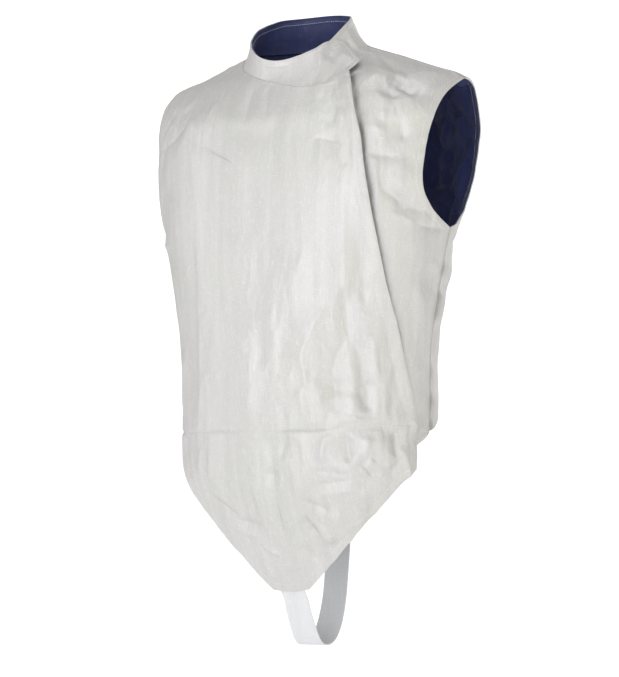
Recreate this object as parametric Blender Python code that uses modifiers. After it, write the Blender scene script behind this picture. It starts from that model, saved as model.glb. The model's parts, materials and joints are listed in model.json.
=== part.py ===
"""Fencing lame for foil: a sleeveless metallic vest in its hollow worn form, with a crotch strap.

Metres, +Z up. The wearer faces -Y and the wearer's left is +X. The origin lies midway between
the shoulders, level with the two points where the shoulders meet the neck.

Places on the body form are given by an angle and a height. The angle is -90 at the front centre,
0 at the wearer's left side, 90 at the back centre and 180 or -180 at the wearer's right side.
"""

import bpy
import numpy as np

NAME = "fencing_lame"

CLOTH = 0.0012
LINING = 0.0010
ELASTIC = 0.0014
SEAM_GAP = 0.0003
LAYER_GAP = 0.0003
LINING_GAP = 0.0005

FLAP_LIFT = 0.0030
FLAP_LIFT_SPREAD = 62.0
UNDERLAP = 22.0
TOP_OF_FORM = 0.015
CHEST_LEVEL = -0.150
SHOULDER_LEVEL = -0.046
SHOULDER_STRETCH = 2.8
FOLD_MM_PER_DEGREE = 2.5
LINING_INSET = 0.0015

# The body form, one section a row: height, half width, middle y, depth to the front,
# depth to the back, squareness of the front half, squareness of the back half.
BODY = np.array([
    [-0.660, 0.066, 0.000, 0.038, 0.112, 2.00, 2.20],
    [-0.645, 0.074, 0.000, 0.048, 0.112, 2.00, 2.20],
    [-0.600, 0.106, 0.000, 0.075, 0.114, 2.00, 2.20],
    [-0.550, 0.141, 0.000, 0.101, 0.115, 2.00, 2.20],
    [-0.500, 0.161, 0.000, 0.117, 0.114, 2.10, 2.20],
    [-0.440, 0.160, 0.000, 0.122, 0.111, 2.10, 2.20],
    [-0.380, 0.161, 0.000, 0.124, 0.110, 2.10, 2.20],
    [-0.300, 0.171, 0.001, 0.125, 0.109, 2.15, 2.20],
    [-0.220, 0.187, 0.003, 0.126, 0.104, 2.25, 2.25],
    [-0.150, 0.207, 0.012, 0.132, 0.104, 2.10, 2.40],
    [-0.100, 0.210, 0.018, 0.130, 0.102, 2.10, 2.45],
    [-0.070, 0.207, 0.017, 0.115, 0.100, 2.05, 2.40],
    [-0.045, 0.200, 0.015, 0.096, 0.096, 1.80, 2.30],
    [-0.030, 0.162, 0.012, 0.078, 0.091, 1.60, 2.20],
    [-0.015, 0.121, 0.009, 0.060, 0.080, 1.50, 2.10],
    [0.000, 0.078, 0.006, 0.046, 0.061, 1.60, 2.00],
    [0.015, 0.050, 0.004, 0.034, 0.044, 2.00, 2.00],
])

# Largest folds, one a row: angle, height, lean in degrees from upright, half length,
# half width and rise (millimetres, a trough is negative).
FOLDS = np.array([
    [-60.0, -0.132, -11, 70, 15, 2.2],
    [-47.0, -0.248, -17, 70, 15, 2.6],
    [-54.5, -0.262, -12, 42, 14, -2.4],
    [-60.0, -0.325, 0, 36, 15, -2.6],
    [-47.0, -0.352, -24, 50, 14, 2.6],
    [-43.0, -0.405, -12, 40, 14, -2.4],
    [-69.0, -0.339, 16, 44, 14, 2.2],
    [-63.0, -0.392, -12, 40, 15, -2.6],
    [-53.5, -0.402, 0, 42, 14, 2.2],
    [-96.5, -0.388, -7, 55, 17, 2.6],
    [-106.0, -0.380, 0, 60, 17, -2.2],
    [-103.8, -0.257, 0, 40, 16, 1.6],
    [-78.4, -0.285, 13, 34, 15, 1.8],
    [-85.0, -0.240, 5, 45, 18, -1.6],
    [-84.0, -0.515, -4, 50, 16, 2.2],
    [-94.0, -0.520, 4, 45, 17, -2.2],
    [-46.0, -0.500, 13, 36, 15, 2.0],
    [-36.0, -0.515, 9, 36, 14, -2.0],
    [-100.0, -0.592, -20, 26, 14, -1.6],
    [-74.0, -0.095, -36, 30, 22, -1.8],
    [-138.0, -0.105, 50, 45, 15, -2.2],
    [-133.0, -0.132, 50, 40, 15, 2.0],
    [-141.0, -0.190, 75, 36, 14, -1.6],
    [-40.0, -0.050, 38, 36, 14, -2.2],
    [-46.0, -0.085, 20, 40, 15, 1.8],
    [-42.0, -0.140, -30, 30, 16, -1.8],
    [-30.0, -0.222, -74, 34, 14, -2.0],
    [-24.0, -0.250, -70, 36, 14, 1.6],
    [-8.0, -0.300, 4, 40, 14, -1.6],
    [-6.0, -0.390, -6, 36, 14, 1.8],
    [-172.0, -0.310, -4, 44, 14, -1.6],
    [-158.0, -0.370, 6, 50, 16, 1.8],
    [60.0, -0.120, 25, 55, 18, -2.2],
    [122.0, -0.135, -28, 50, 18, -2.0],
    [92.0, -0.200, 3, 70, 20, -1.8],
    [70.0, -0.300, -10, 60, 17, 2.4],
    [84.0, -0.370, -4, 55, 16, -2.4],
    [104.0, -0.330, 8, 65, 17, 2.2],
    [118.0, -0.390, 5, 45, 15, -2.2],
    [54.0, -0.385, 12, 42, 15, -2.2],
    [40.0, -0.330, 20, 45, 15, 1.8],
    [140.0, -0.320, -18, 48, 15, 1.8],
    [28.0, -0.245, 68, 36, 14, -2.0],
    [152.0, -0.250, -66, 36, 14, -2.0],
    [96.0, -0.060, 80, 50, 14, -1.6],
])

# Lines on the form, each row an angle and a height. The wearer's right side mirrors the left.
ARMHOLE_FRONT = np.array([
    [0.0, -0.2229],
    [-14.0, -0.2109],
    [-21.7, -0.1985],
    [-28.0, -0.1830],
    [-30.5, -0.1648],
    [-30.7, -0.1278],
    [-28.2, -0.0980],
    [-21.7, -0.0682],
    [-11.0, -0.0530],
    [-3.0, -0.0462],
])
ARMHOLE_BACK = np.array([
    [0.0, -0.2229],
    [8.0, -0.2190],
    [14.5, -0.2080],
    [18.5, -0.1920],
    [20.5, -0.1650],
    [20.5, -0.1300],
    [20.0, -0.0950],
    [17.0, -0.0660],
    [9.0, -0.0500],
    [-3.0, -0.0462],
])
SIDE_SEAM = np.array([[0.0, -0.4590], [0.0, -0.2229]])
BACK_HEM = np.array([
    [0.0, -0.4590],
    [17.5, -0.4450],
    [45.0, -0.4370],
    [90.0, -0.4350],
    [135.0, -0.4370],
    [162.5, -0.4450],
    [180.0, -0.4590],
])
FLAP_EDGE = np.array([
    [-14.7, -0.4525],
    [-15.6, -0.4360],
    [-18.2, -0.4150],
    [-22.5, -0.3843],
    [-26.7, -0.3502],
    [-34.8, -0.3074],
    [-43.5, -0.2498],
    [-50.3, -0.2003],
    [-54.3, -0.1624],
    [-57.0, -0.1230],
    [-59.8, -0.0922],
    [-61.5, -0.0640],
])
WAIST_SEAM = np.array([
    [-180.0, -0.4590],
    [-150.0, -0.4605],
    [-120.0, -0.4602],
    [-90.0, -0.4592],
    [-60.0, -0.4587],
    [-51.0, -0.4530],
    [-21.7, -0.4520],
    [-14.7, -0.4525],
])
LOBE_RIGHT_HEM = np.array([
    [-180.0, -0.4590],
    [-172.0, -0.4800],
    [-163.5, -0.5010],
    [-155.2, -0.5178],
    [-151.0, -0.5298],
    [-142.8, -0.5534],
    [-132.8, -0.5884],
    [-123.0, -0.6235],
    [-110.0, -0.6466],
])
LOBE_LEFT_HEM = np.array([
    [-15.6, -0.5030],
    [-22.5, -0.5149],
    [-33.7, -0.5495],
    [-43.0, -0.5846],
    [-50.5, -0.6081],
    [-62.5, -0.6326],
    [-71.2, -0.6446],
])
LOBE_FLAP_EDGE = np.array([[-14.7, -0.4525], [-15.2, -0.4760], [-14.0, -0.4957], [-15.6, -0.5030]])
LOBE_TIP = np.array([[-110.0, -0.6466], [-90.0, -0.6480], [-71.2, -0.6446]])
UNDER_HEM = np.array([[-38.0, -0.4930], [-26.0, -0.4870], [-14.0, -0.4760], [0.0, -0.4590]])

# The neck's and collar's rows turn about the neck's axis at y NECK_Y, from 0 at the back by way of
# the wearer's right. Each row: turn of the base, its radius, its height over the form, turn of the
# rim, its radius, its height. The collar starts covered at the left front and ends in the tab.
NECK_Y = -0.020
COLLAR = np.array([
    [-140.0, 0.0655, 0.0000, -137.0, 0.0500, -0.0110],
    [-120.0, 0.0690, 0.0000, -118.0, 0.0505, -0.0030],
    [-95.0, 0.0755, 0.0000, -98.0, 0.0525, 0.0130],
    [-75.0, 0.0805, 0.0000, -76.0, 0.0562, 0.0285],
    [-45.0, 0.0790, 0.0000, -46.0, 0.0618, 0.0420],
    [0.0, 0.0750, 0.0000, 0.0, 0.0650, 0.0490],
    [45.0, 0.0790, 0.0000, 45.0, 0.0625, 0.0445],
    [75.0, 0.0805, 0.0000, 72.0, 0.0605, 0.0350],
    [95.0, 0.0755, 0.0000, 92.0, 0.0600, 0.0250],
    [120.0, 0.0690, 0.0000, 116.0, 0.0613, 0.0080],
    [150.0, 0.0648, 0.0000, 147.0, 0.0655, -0.0120],
    [165.0, 0.0650, 0.0000, 163.0, 0.0675, -0.0210],
    [180.0, 0.0672, 0.0000, 180.0, 0.0650, -0.0260],
    [195.0, 0.0725, 0.0000, 196.0, 0.0605, -0.0225],
    [210.0, 0.0820, 0.0000, 212.0, 0.0575, -0.0155],
    [225.0, 0.0935, 0.0000, 229.0, 0.0560, -0.0070],
    [236.0, 0.1010, 0.0000, 243.0, 0.0560, 0.0005],
    [242.0, 0.0995, 0.0020, 252.0, 0.0575, 0.0045],
    [248.5, 0.0995, 0.0040, 257.5, 0.0610, 0.0040],
    [253.5, 0.0985, 0.0050, 262.2, 0.0666, 0.0010],
])
UNDER_NECK = -140.0
NECK_POINT = 75.0
FLAP_TOP = 242.0
COLLAR_BOW = 0.0015
COLLAR_LINING_FROM = -92.0
COLLAR_LINING_TO = 152.0

# The strap's middle line: y, height, twist in degrees, sideways bow.
STRAP_WIDTH = 0.032
STRAP = np.array([
    [-0.0325, -0.6590, 0, 0.0004],
    [-0.0270, -0.6720, 3, 0.0000],
    [-0.0200, -0.6840, 6, 0.0000],
    [-0.0125, -0.6965, 9, 0.0000],
    [-0.0040, -0.7080, 12, 0.0000],
    [0.0080, -0.7145, 13, 0.0000],
    [0.0230, -0.7145, 12, 0.0000],
    [0.0370, -0.7085, 9, 0.0000],
    [0.0490, -0.6970, 6, 0.0000],
    [0.0590, -0.6790, 3, 0.0000],
    [0.0660, -0.6580, 0, 0.0000],
    [0.0710, -0.6300, 0, 0.0000],
    [0.0770, -0.5900, 0, 0.0000],
    [0.0840, -0.5500, 0, 0.0000],
    [0.0910, -0.5100, 0, 0.0000],
    [0.0970, -0.4750, 0, 0.0000],
    [0.1020, -0.4500, 0, 0.0006],
])
STRAP_FRONT_HOLD = (-0.632, -0.644)
STRAP_BACK_HOLD = (-0.434, -0.420)

STRAP_FRONT_BOW = 0.0016
STRAP_BACK_BOW = -0.0012

# Cells along the edges of the pieces.
SEAM_CELLS = 15
ARM_CELLS = 13
SHOULDER_CELLS = 8
SIDE_CELLS = SEAM_CELLS + ARM_CELLS + SHOULDER_CELLS
BACK_CELLS = 26
RIGHT_CELLS = 21
UNDER_CELLS = 9
LOBE_FLAP_CELLS = 3
LOBE_HEM_CELLS = 14
TAB_CELLS = 4
COLLAR_ROWS = 4
STRAP_CELLS = 44
STRAP_COLUMNS = 4

# Colours seen on each node: red, green, blue, metallic, roughness.
COLOURS = {
    "lame": (0.60, 0.60, 0.58, 0.35, 0.55),
    "navy": (0.030, 0.035, 0.115, 0.0, 0.85),
    "elastic": (0.80, 0.81, 0.84, 0.0, 0.80),
}


def smooth(table, at):
    """Cubic through a table's rows, with its first column ascending and no overshoot."""
    x, y = table[:, 0], table[:, 1:]
    at = np.clip(np.asarray(at, float), x[0], x[-1])
    width = np.diff(x)[:, None]
    rise = np.diff(y, axis=0) / width
    slope = np.zeros_like(y)
    slope[0], slope[-1] = rise[0], rise[-1]
    before = 2 * width[1:] + width[:-1]
    after = width[1:] + 2 * width[:-1]
    same = rise[:-1] * rise[1:] > 0
    first = np.where(same, rise[:-1], 1.0)
    second = np.where(same, rise[1:], 1.0)
    slope[1:-1] = np.where(same, (before + after) / (before / first + after / second), 0.0)
    i = np.clip(np.searchsorted(x, at, side="right") - 1, 0, len(width) - 1)
    u = ((at - x[i]) / width[i, 0])[..., None]
    start = y[i] * (1 + 2 * u) * (1 - u) ** 2 + slope[i] * width[i] * u * (1 - u) ** 2
    end = y[i + 1] * u * u * (3 - 2 * u) + slope[i + 1] * width[i] * u * u * (u - 1)
    return start + end


def ease(u):
    u = np.clip(u, 0.0, 1.0)
    return u * u * (3 - 2 * u)


def body(angle, height):
    """Points of the plain body form."""
    angle, height = np.broadcast_arrays(np.asarray(angle, float), np.asarray(height, float))
    half, middle, front, back, square_front, square_back = np.moveaxis(smooth(BODY, height), -1, 0)
    c, s = np.cos(np.radians(angle)), np.sin(np.radians(angle))
    depth = np.where(s < 0, front, back)
    power = 2 / np.where(s < 0, square_front, square_back)
    x = half * np.sign(c) * np.abs(c) ** power
    y = middle + depth * np.sign(s) * np.abs(s) ** power
    return np.stack([x, y, height], -1)


def on_body(x, y):
    """Angle and height of the place on the form straight over a point of the plan."""
    low, high = CHEST_LEVEL, TOP_OF_FORM
    for _ in range(40):
        height = (low + high) / 2
        half, middle, front, back, square_front, square_back = smooth(BODY, height)
        depth, square = (front, square_front) if y < middle else (back, square_back)
        across, along = abs(x) / half, abs(y - middle) / depth
        inside = across ** square + along ** square < 1
        low, high = (height, high) if inside else (low, height)
    sine = np.sign(y - middle) * along ** (square / 2)
    cosine = np.sign(x) * across ** (square / 2)
    return np.degrees(np.arctan2(sine, cosine)), height


def unit(v):
    return v / np.maximum(np.linalg.norm(v, axis=-1, keepdims=True), 1e-12)


def outward(angle, height):
    """Outward normals of the body form."""
    turn, rise = 0.2, 0.0005
    height = np.minimum(height, TOP_OF_FORM - rise)
    round_it = body(angle + turn, height) - body(angle - turn, height)
    up_it = body(angle, height + rise) - body(angle, height - rise)
    return unit(np.cross(round_it, up_it))


def folds(angle, height):
    """How far the largest folds lift the cloth off the form."""
    total = np.zeros(np.shape(angle))
    for at, level, lean, long, wide, rise in FOLDS:
        across = ((angle - at + 180) % 360 - 180) * FOLD_MM_PER_DEGREE / 1000
        up = height - level
        c, s = np.cos(np.radians(lean)), np.sin(np.radians(lean))
        side, length = across * c - up * s, across * s + up * c
        total += rise / 1000 * np.exp(-((side * 1000 / wide) ** 2) - (length * 1000 / long) ** 2)
    return total


def flap_angle(height):
    """The flap edge's angle at a height."""
    return smooth(FLAP_EDGE[:, ::-1], height)[..., 0]


def flap_lift(angle, height):
    """The outer front stands off the one below it, most at its free edge."""
    start = flap_angle(height) - FLAP_LIFT_SPREAD
    return FLAP_LIFT * ease((angle - start) / FLAP_LIFT_SPREAD)


def cloth(places, out, lifted=False):
    """Points over the form's angle and height places, a distance out along its normals."""
    angle, height = places[..., 0], places[..., 1]
    out = out + folds(angle, height)
    if lifted:
        out = out + flap_lift(angle, height)
    return body(angle, height) + outward(angle, height) * out[..., None]


def even(points, places, cells):
    """Picks cells + 1 evenly spaced rows of places by the distance along the points."""
    way = np.concatenate([[0], np.cumsum(np.linalg.norm(np.diff(points, axis=0), axis=1))])
    at = np.linspace(0, way[-1], cells + 1)
    return np.stack([np.interp(at, way, column) for column in places.T], -1)


def line(rows, cells):
    """A smooth line through angle and height rows, cut into equal cells."""
    points = body(rows[:, 0], rows[:, 1])
    way = np.concatenate([[0], np.cumsum(np.linalg.norm(np.diff(points, axis=0), axis=1))])
    fine = smooth(np.column_stack([way, rows]), np.linspace(0, way[-1], 300))
    return even(body(fine[:, 0], fine[:, 1]), fine, cells)


def join(*lines):
    return np.concatenate([lines[0]] + [more[1:] for more in lines[1:]])


def mirrored(places, front):
    """The same places on the wearer's right side."""
    angle = (-180 if front else 180) - places[:, 0]
    return np.column_stack([angle, places[:, 1]])


def plan_point(turn, radius):
    """Point of the plan by its turn about the neck's axis."""
    a = np.radians(turn)
    return -radius * np.sin(a), NECK_Y + radius * np.cos(a)


def neck_places(turns, front):
    """Places of the neck seam; a front counts its angles below zero."""
    radii = smooth(COLLAR[:, :2], turns)[:, 0]
    places = np.array([on_body(*plan_point(t, r)) for t, r in zip(turns, radii)])
    if front:
        places[:, 0] = np.where(places[:, 0] > 90, places[:, 0] - 360, places[:, 0])
    else:
        places[:, 0] = np.where(places[:, 0] < -90, places[:, 0] + 360, places[:, 0])
    return places


def neck_turns(start, end, cells):
    """Turns along the neck seam at even distances."""
    turns = np.linspace(start, end, 80)
    points = body(*neck_places(turns, True).T)
    return even(points, turns[:, None], cells)[:, 0]


def shoulder(cells):
    """The wearer's left shoulder seam, from the armhole's top to the neck."""
    radius = smooth(COLLAR[:, :2], NECK_POINT)[0]
    x0, y0, _ = body(*ARMHOLE_FRONT[-1])
    x1, y1 = plan_point(-NECK_POINT, radius)
    spots = [(x0 + (x1 - x0) * u, y0 + (y1 - y0) * u) for u in np.linspace(0, 1, 40)]
    places = np.array([on_body(x, y) for x, y in spots])
    places[0] = ARMHOLE_FRONT[-1]
    return even(body(*places.T), places, cells)


def stretched(places, factor):
    """Draws out the heights above the shoulder's tip, where the form lies flatter."""
    angle, height = places[..., 0], places[..., 1]
    over = np.maximum(height - SHOULDER_LEVEL, 0)
    return np.stack([angle, np.minimum(height, SHOULDER_LEVEL) + over * factor], -1)


def patch(*lines):
    """A grid of places between the lines bottom, right, top and left, which run right or up."""
    bottom, right, top, left = [stretched(places, SHOULDER_STRETCH) for places in lines]
    u = np.linspace(0, 1, len(bottom))[None, :, None]
    v = np.linspace(0, 1, len(left))[:, None, None]
    rows = (1 - v) * bottom[None] + v * top[None]
    columns = (1 - u) * left[:, None] + u * right[:, None]
    low = (1 - u) * bottom[0] + u * bottom[-1]
    high = (1 - u) * top[0] + u * top[-1]
    return stretched(rows + columns - (1 - v) * low - v * high, 1 / SHOULDER_STRETCH)


def drawn_in(grid, by):
    """Moves the grid's four edges inwards, so that neighbours keep a gap at a seam."""
    moved = grid.copy()
    for edge, inner in ((0, 1), (-1, -2)):
        moved[edge] += unit(grid[inner] - grid[edge]) * by
        moved[:, edge] += unit(grid[:, inner] - grid[:, edge]) * by
    return moved


def material(name):
    red, green, blue, metallic, roughness = COLOURS[name]
    made = bpy.data.materials.new(name)
    made.use_nodes = True
    shader = made.node_tree.nodes["Principled BSDF"]
    shader.inputs["Base Color"].default_value = (red, green, blue, 1)
    shader.inputs["Metallic"].default_value = metallic
    shader.inputs["Roughness"].default_value = roughness
    made.diffuse_color = (red, green, blue, 1)
    return made


def triangles(grid):
    """Splits a grid's cells along their shorter diagonals."""
    rows, columns = grid.shape[:2]
    index = np.arange(rows * columns).reshape(rows, columns)
    here, beside, above = index[:-1, :-1].ravel(), index[:-1, 1:].ravel(), index[1:, :-1].ravel()
    across = index[1:, 1:].ravel()
    rising = np.linalg.norm(grid[1:, 1:] - grid[:-1, :-1], axis=-1).ravel()
    falling = np.linalg.norm(grid[1:, :-1] - grid[:-1, 1:], axis=-1).ravel()
    last = np.where(rising <= falling, across, above)
    first = np.where(rising <= falling, here, beside)
    return np.concatenate([np.stack([here, beside, last], -1), np.stack([first, across, above], -1)])


def shell(name, grid, thickness, side, colour, faces=None):
    """A wall from an open grid. Side 1 thickens it outwards, -1 inwards, 0 both ways."""
    faces = triangles(grid) if faces is None else faces
    mesh = bpy.data.meshes.new(name)
    mesh.from_pydata(grid.reshape(-1, 3).tolist(), [], faces.tolist())
    mesh.materials.append(material(colour))
    obj = bpy.data.objects.new(name, mesh)
    collection.objects.link(obj)
    wall = obj.modifiers.new("wall", "SOLIDIFY")
    wall.thickness = thickness
    wall.offset = side
    return obj


def side_line(armhole):
    """Side seam, armhole edge and shoulder seam of the wearer's left, upwards."""
    return join(line(SIDE_SEAM, SEAM_CELLS), line(armhole, ARM_CELLS), shoulder(SHOULDER_CELLS))


def back_places():
    left = side_line(ARMHOLE_BACK)
    top = neck_places(neck_turns(-NECK_POINT, NECK_POINT, BACK_CELLS), False)
    return patch(line(BACK_HEM, BACK_CELLS), mirrored(left, False), top, left)


def back_grid():
    return drawn_in(cloth(back_places(), -CLOTH), SEAM_GAP / 2)


def back():
    """Outer back, one piece from side seam to side seam."""
    shell("back", back_grid(), CLOTH, 1, "lame")


def lining_back():
    """Navy lining inside the back, made from the back's own places and split the same way."""
    depth = CLOTH + LINING_GAP + LINING
    grid = drawn_in(cloth(back_places(), -depth), LINING_INSET)
    shell("lining_back", grid, LINING, 1, "navy", triangles(back_grid()))


def front_right():
    """Outer front: it crosses over to the wearer's left, where its edge is free."""
    left = mirrored(side_line(ARMHOLE_FRONT), True)
    top = neck_places(neck_turns(NECK_POINT, FLAP_TOP, RIGHT_CELLS), True)
    edge = line(np.vstack([FLAP_EDGE, top[-1:]]), SIDE_CELLS)
    grid = patch(line(WAIST_SEAM, RIGHT_CELLS), edge, top, left)
    shell("front_right", drawn_in(cloth(grid, -CLOTH, True), SEAM_GAP / 2), CLOTH, 1, "lame")


def front_lobe():
    """Lower lobe, hung from the waist seam and tapering to a blunt tip."""
    top = line(WAIST_SEAM, RIGHT_CELLS)
    edge = join(line(LOBE_FLAP_EDGE, LOBE_FLAP_CELLS), line(LOBE_LEFT_HEM, LOBE_HEM_CELLS))
    left = line(LOBE_RIGHT_HEM, LOBE_FLAP_CELLS + LOBE_HEM_CELLS)
    grid = patch(line(LOBE_TIP, RIGHT_CELLS), edge[::-1], top, left[::-1])
    shell("front_lobe", drawn_in(cloth(grid, -CLOTH, True), SEAM_GAP / 2), CLOTH, 1, "lame")


def front_left():
    """Wearer's left front, which runs on under the flap."""
    top = neck_places(neck_turns(UNDER_NECK, -NECK_POINT, UNDER_CELLS), True)
    inner = np.vstack([UNDER_HEM[:1], FLAP_EDGE[1:-1] - [UNDERLAP, 0], top[:1]])
    hem = line(UNDER_HEM, UNDER_CELLS)
    grid = patch(hem, side_line(ARMHOLE_FRONT), top, line(inner, SIDE_CELLS))
    shell("front_left", drawn_in(cloth(grid, -CLOTH), SEAM_GAP / 2), CLOTH, 1, "lame")


def collar_turns():
    """Turns of the collar's columns, which meet the panels' own corners along the neck."""
    tab = np.linspace(FLAP_TOP, COLLAR[-1, 0], TAB_CELLS + 1)
    return join(
        neck_turns(UNDER_NECK, -NECK_POINT, UNDER_CELLS),
        neck_turns(-NECK_POINT, NECK_POINT, BACK_CELLS),
        neck_turns(NECK_POINT, FLAP_TOP, RIGHT_CELLS),
        tab,
    )


def collar_grid(turns, depth):
    """Rows of the collar from base to rim, a depth in from its outer face."""
    base_radius, proud, rim_turn, rim_radius, rim_height = smooth(COLLAR, turns).T
    outer = turns > NECK_POINT
    places = neck_places(turns, True)
    base = np.where(outer[:, None], cloth(places, proud, True), cloth(places, proud))
    x, y = plan_point(rim_turn, rim_radius)
    rim = np.stack([x, y, rim_height], -1)
    up = unit(rim - base)
    base = base + up * SEAM_GAP
    v = np.linspace(0, 1, COLLAR_ROWS + 1)[:, None, None]
    grid = (1 - v) * base[None] + v * rim[None]
    out = unit(np.cross(np.gradient(grid, axis=1), up[None]))
    return grid - out * (COLLAR_BOW * 4 * v * (1 - v) + depth)


def collar():
    """Stand collar, one strip that ends in the tab over the wearer's left front."""
    shell("collar", collar_grid(collar_turns(), 0.0), CLOTH, -1, "lame")


def lining_collar():
    """Navy lining inside the part of the collar that can be seen into."""
    turns = collar_turns()
    seen = (turns > COLLAR_LINING_FROM) & (turns < COLLAR_LINING_TO)
    grid = collar_grid(turns, CLOTH + LAYER_GAP)[:, seen]
    shell("lining_collar", grid, LINING, -1, "navy")


def held_rows(angle, heights, depth, bow):
    """Strap rows that lie on the inside of a panel."""
    places = np.array([[angle, height] for height in heights])
    points = cloth(places, -depth, angle < 0)
    return [[p[1], p[2], 0, bow] for p in points]


def strap():
    """White elastic from the inside of the lobe's tip, round below, to the back hem's inside."""
    half = ELASTIC / 2 + LAYER_GAP
    front = held_rows(-90.0, STRAP_FRONT_HOLD, CLOTH + half, STRAP_FRONT_BOW)
    behind = held_rows(90.0, STRAP_BACK_HOLD, CLOTH + LINING_GAP + LINING + half, STRAP_BACK_BOW)
    rows = np.array(front + STRAP.tolist() + behind)
    middle = rows[:, :2]
    way = np.concatenate([[0], np.cumsum(np.linalg.norm(np.diff(middle, axis=0), axis=1))])
    fine = smooth(np.column_stack([way, rows]), np.linspace(0, way[-1], STRAP_CELLS + 1))
    across = np.linspace(-1, 1, STRAP_COLUMNS + 1)
    grid = np.zeros((STRAP_CELLS + 1, STRAP_COLUMNS + 1, 3))
    twist = np.radians(fine[:, 2])[:, None]
    side = across * STRAP_WIDTH / 2
    grid[..., 0] = side * np.cos(twist)
    grid[..., 1] = fine[:, :1] + side * np.sin(twist) + fine[:, 3:] * across ** 2
    grid[..., 2] = fine[:, 1:2]
    shell("strap", grid, ELASTIC, 0, "elastic")


for old in list(bpy.data.objects):
    bpy.data.objects.remove(old, do_unlink=True)
collection = bpy.data.collections.new(NAME)
bpy.context.scene.collection.children.link(collection)
front_right()
front_lobe()
front_left()
back()
collar()
lining_back()
lining_collar()
strap()
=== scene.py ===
"""Fencing lame for foil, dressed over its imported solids, in the shape it has when it is worn."""

import json
from math import cos, pi, radians, sin

import bpy
import numpy as np
from mathutils import Matrix, Vector
from mathutils.bvhtree import BVHTree
from mathutils.kdtree import KDTree

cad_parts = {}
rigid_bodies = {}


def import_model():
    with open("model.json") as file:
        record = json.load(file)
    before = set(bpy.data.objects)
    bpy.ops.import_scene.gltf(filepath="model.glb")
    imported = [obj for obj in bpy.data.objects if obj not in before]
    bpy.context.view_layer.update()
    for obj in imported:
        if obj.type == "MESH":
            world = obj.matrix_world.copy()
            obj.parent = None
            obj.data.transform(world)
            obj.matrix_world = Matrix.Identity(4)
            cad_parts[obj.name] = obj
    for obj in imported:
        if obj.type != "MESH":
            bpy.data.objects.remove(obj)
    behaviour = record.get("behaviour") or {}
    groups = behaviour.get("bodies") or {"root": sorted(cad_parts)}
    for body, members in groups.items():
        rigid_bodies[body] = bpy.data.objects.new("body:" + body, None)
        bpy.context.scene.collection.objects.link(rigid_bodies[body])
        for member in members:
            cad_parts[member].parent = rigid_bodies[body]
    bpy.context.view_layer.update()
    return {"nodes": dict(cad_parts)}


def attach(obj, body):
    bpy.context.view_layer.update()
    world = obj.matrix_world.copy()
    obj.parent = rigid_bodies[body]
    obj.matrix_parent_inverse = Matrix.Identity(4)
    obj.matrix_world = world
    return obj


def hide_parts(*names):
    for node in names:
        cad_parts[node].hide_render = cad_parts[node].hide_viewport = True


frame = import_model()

# Camera: level with the vest's lower half, 28 degrees round to the wearer's left, tipped up a
# little, from 2.6 m away. One pixel of the 619 x 677 picture is 1.2 mm at the vest.
CAMERA_TURN = radians(28)
CAMERA_TIP = radians(2.4)
CAMERA_AWAY = 2.6
CAMERA_HEIGHT = -0.457
PICTURE_WIDTH = 619
PIXEL = 0.0012
camera_data = bpy.data.cameras.new("camera")
camera_data.sensor_fit = "HORIZONTAL"
camera_data.lens = camera_data.sensor_width * CAMERA_AWAY / cos(CAMERA_TIP) / (PICTURE_WIDTH * PIXEL)
camera = bpy.data.objects.new("camera", camera_data)
bpy.context.scene.collection.objects.link(camera)
level = cos(CAMERA_TIP)
backward = Vector((sin(CAMERA_TURN) * level, -cos(CAMERA_TURN) * level, -sin(CAMERA_TIP)))
rightward = Vector((cos(CAMERA_TURN), sin(CAMERA_TURN), 0))
upward = backward.cross(rightward)
camera.matrix_world = Matrix((rightward, upward, backward)).transposed().to_4x4()
camera.location = (sin(CAMERA_TURN) * CAMERA_AWAY, -cos(CAMERA_TURN) * CAMERA_AWAY, CAMERA_HEIGHT)
bpy.context.scene.camera = camera

# Outer front, cut from lame: a light woven cloth of metal-coated threads that keeps every crease
# it gets. It is sewn at the right side, right shoulder, neck and waist, and crosses over to the
# wearer's left, where its edge is turned in, topstitched and left free.
CLOTH = 0.0012
FRONT_HEM = 0.015
MERGE = 0.00002
RIM_ANGLE = radians(55)
QUAD_FACES, QUAD_SHAPES = radians(60), radians(70)
SMOOTH_ANGLE = radians(50)
SLIT_SIDES, SLIT_WIDTH = 40, 0.009
CORNER_ANGLE = radians(32)
GRAIN_FOCUS = 2.0
FINE, COARSE = 3, 2

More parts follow.
